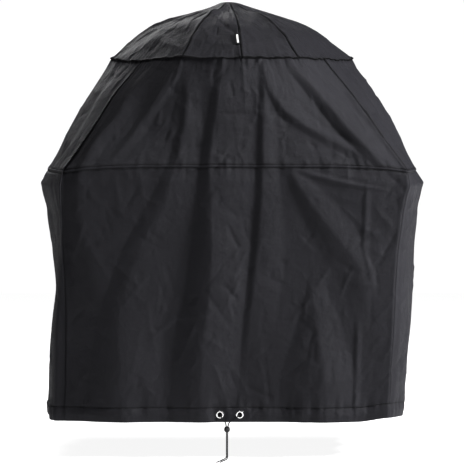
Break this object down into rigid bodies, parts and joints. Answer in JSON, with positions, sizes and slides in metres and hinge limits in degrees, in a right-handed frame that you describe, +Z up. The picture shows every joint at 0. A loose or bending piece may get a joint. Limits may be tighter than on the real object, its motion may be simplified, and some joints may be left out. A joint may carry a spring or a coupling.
{
  "type": "grill cover",
  "caption": "Fitted black fabric cover for a kettle grill on a cart: gored dome crown, flared skirt, drawstring hem with metal eyelets and a sprung cord lock.",
  "frame": {"origin": "underside of the crown's tip, where the cover rests on the handle of the grill's lid", "axes": "+Z up, +X to the right seen from the front, -Y towards the front with the eyelets and the label"},
  "size_m": [1.0678, 0.8162, 1.2407],
  "materials": {
    "cover_cloth": "matt coated weave",
    "eyelet_metal": "bright nickel plate",
    "drawstring_cord": "braided",
    "lock_plastic": "satin",
    "spring_wire": "drawn",
    "label_tape": "woven tape"
  },
  "bodies": {
    "cover": {"crown_gore_back_left": "cover_cloth", "crown_gore_back_right": "cover_cloth", "crown_gore_front_left": "cover_cloth", "crown_gore_front_right": "cover_cloth", "crown_gore_side_back_left": "cover_cloth", "crown_gore_side_back_right": "cover_cloth", "crown_gore_side_front_left": "cover_cloth", "crown_gore_side_front_right": "cover_cloth", "drawstring_end_left": "drawstring_cord", "drawstring_end_right": "drawstring_cord", "drawstring_hem": "drawstring_cord", "drawstring_knot": "drawstring_cord", "drawstring_tail_left": "drawstring_cord", "drawstring_tail_right": "drawstring_cord", "eyelet_left": "eyelet_metal", "eyelet_right": "eyelet_metal", "eyelet_washer_left": "eyelet_metal", "eyelet_washer_right": "eyelet_metal", "hem_casing_back": "cover_cloth", "hem_casing_front": "cover_cloth", "hem_casing_left": "cover_cloth", "hem_casing_right": "cover_cloth", "loop_label": "label_tape", "lower_skirt_back": "cover_cloth", "lower_skirt_front": "cover_cloth", "lower_skirt_left": "cover_cloth", "lower_skirt_right": "cover_cloth", "upper_skirt_back": "cover_cloth", "upper_skirt_front": "cover_cloth", "upper_skirt_left": "cover_cloth", "upper_skirt_right": "cover_cloth"},
    "cord_lock": {"cord_lock_body": "lock_plastic", "cord_lock_spring": "spring_wire"},
    "lock_plunger": {"cord_lock_plunger": "lock_plastic"}
  },
  "joints": [
    {"name": "cord_lock_slide", "type": "slide", "parent": "cover", "child": "cord_lock", "axis": [0, 0, 1], "range_m": [-0.04, 0]},
    {"name": "button_press", "type": "slide", "parent": "cord_lock", "child": "lock_plunger", "axis": [0, 1, 0], "range_m": [0, 0.004], "stiffness_N_per_m": 800, "springref_m": -0.006, "deforming": ["cord_lock_spring"]}
  ]
}
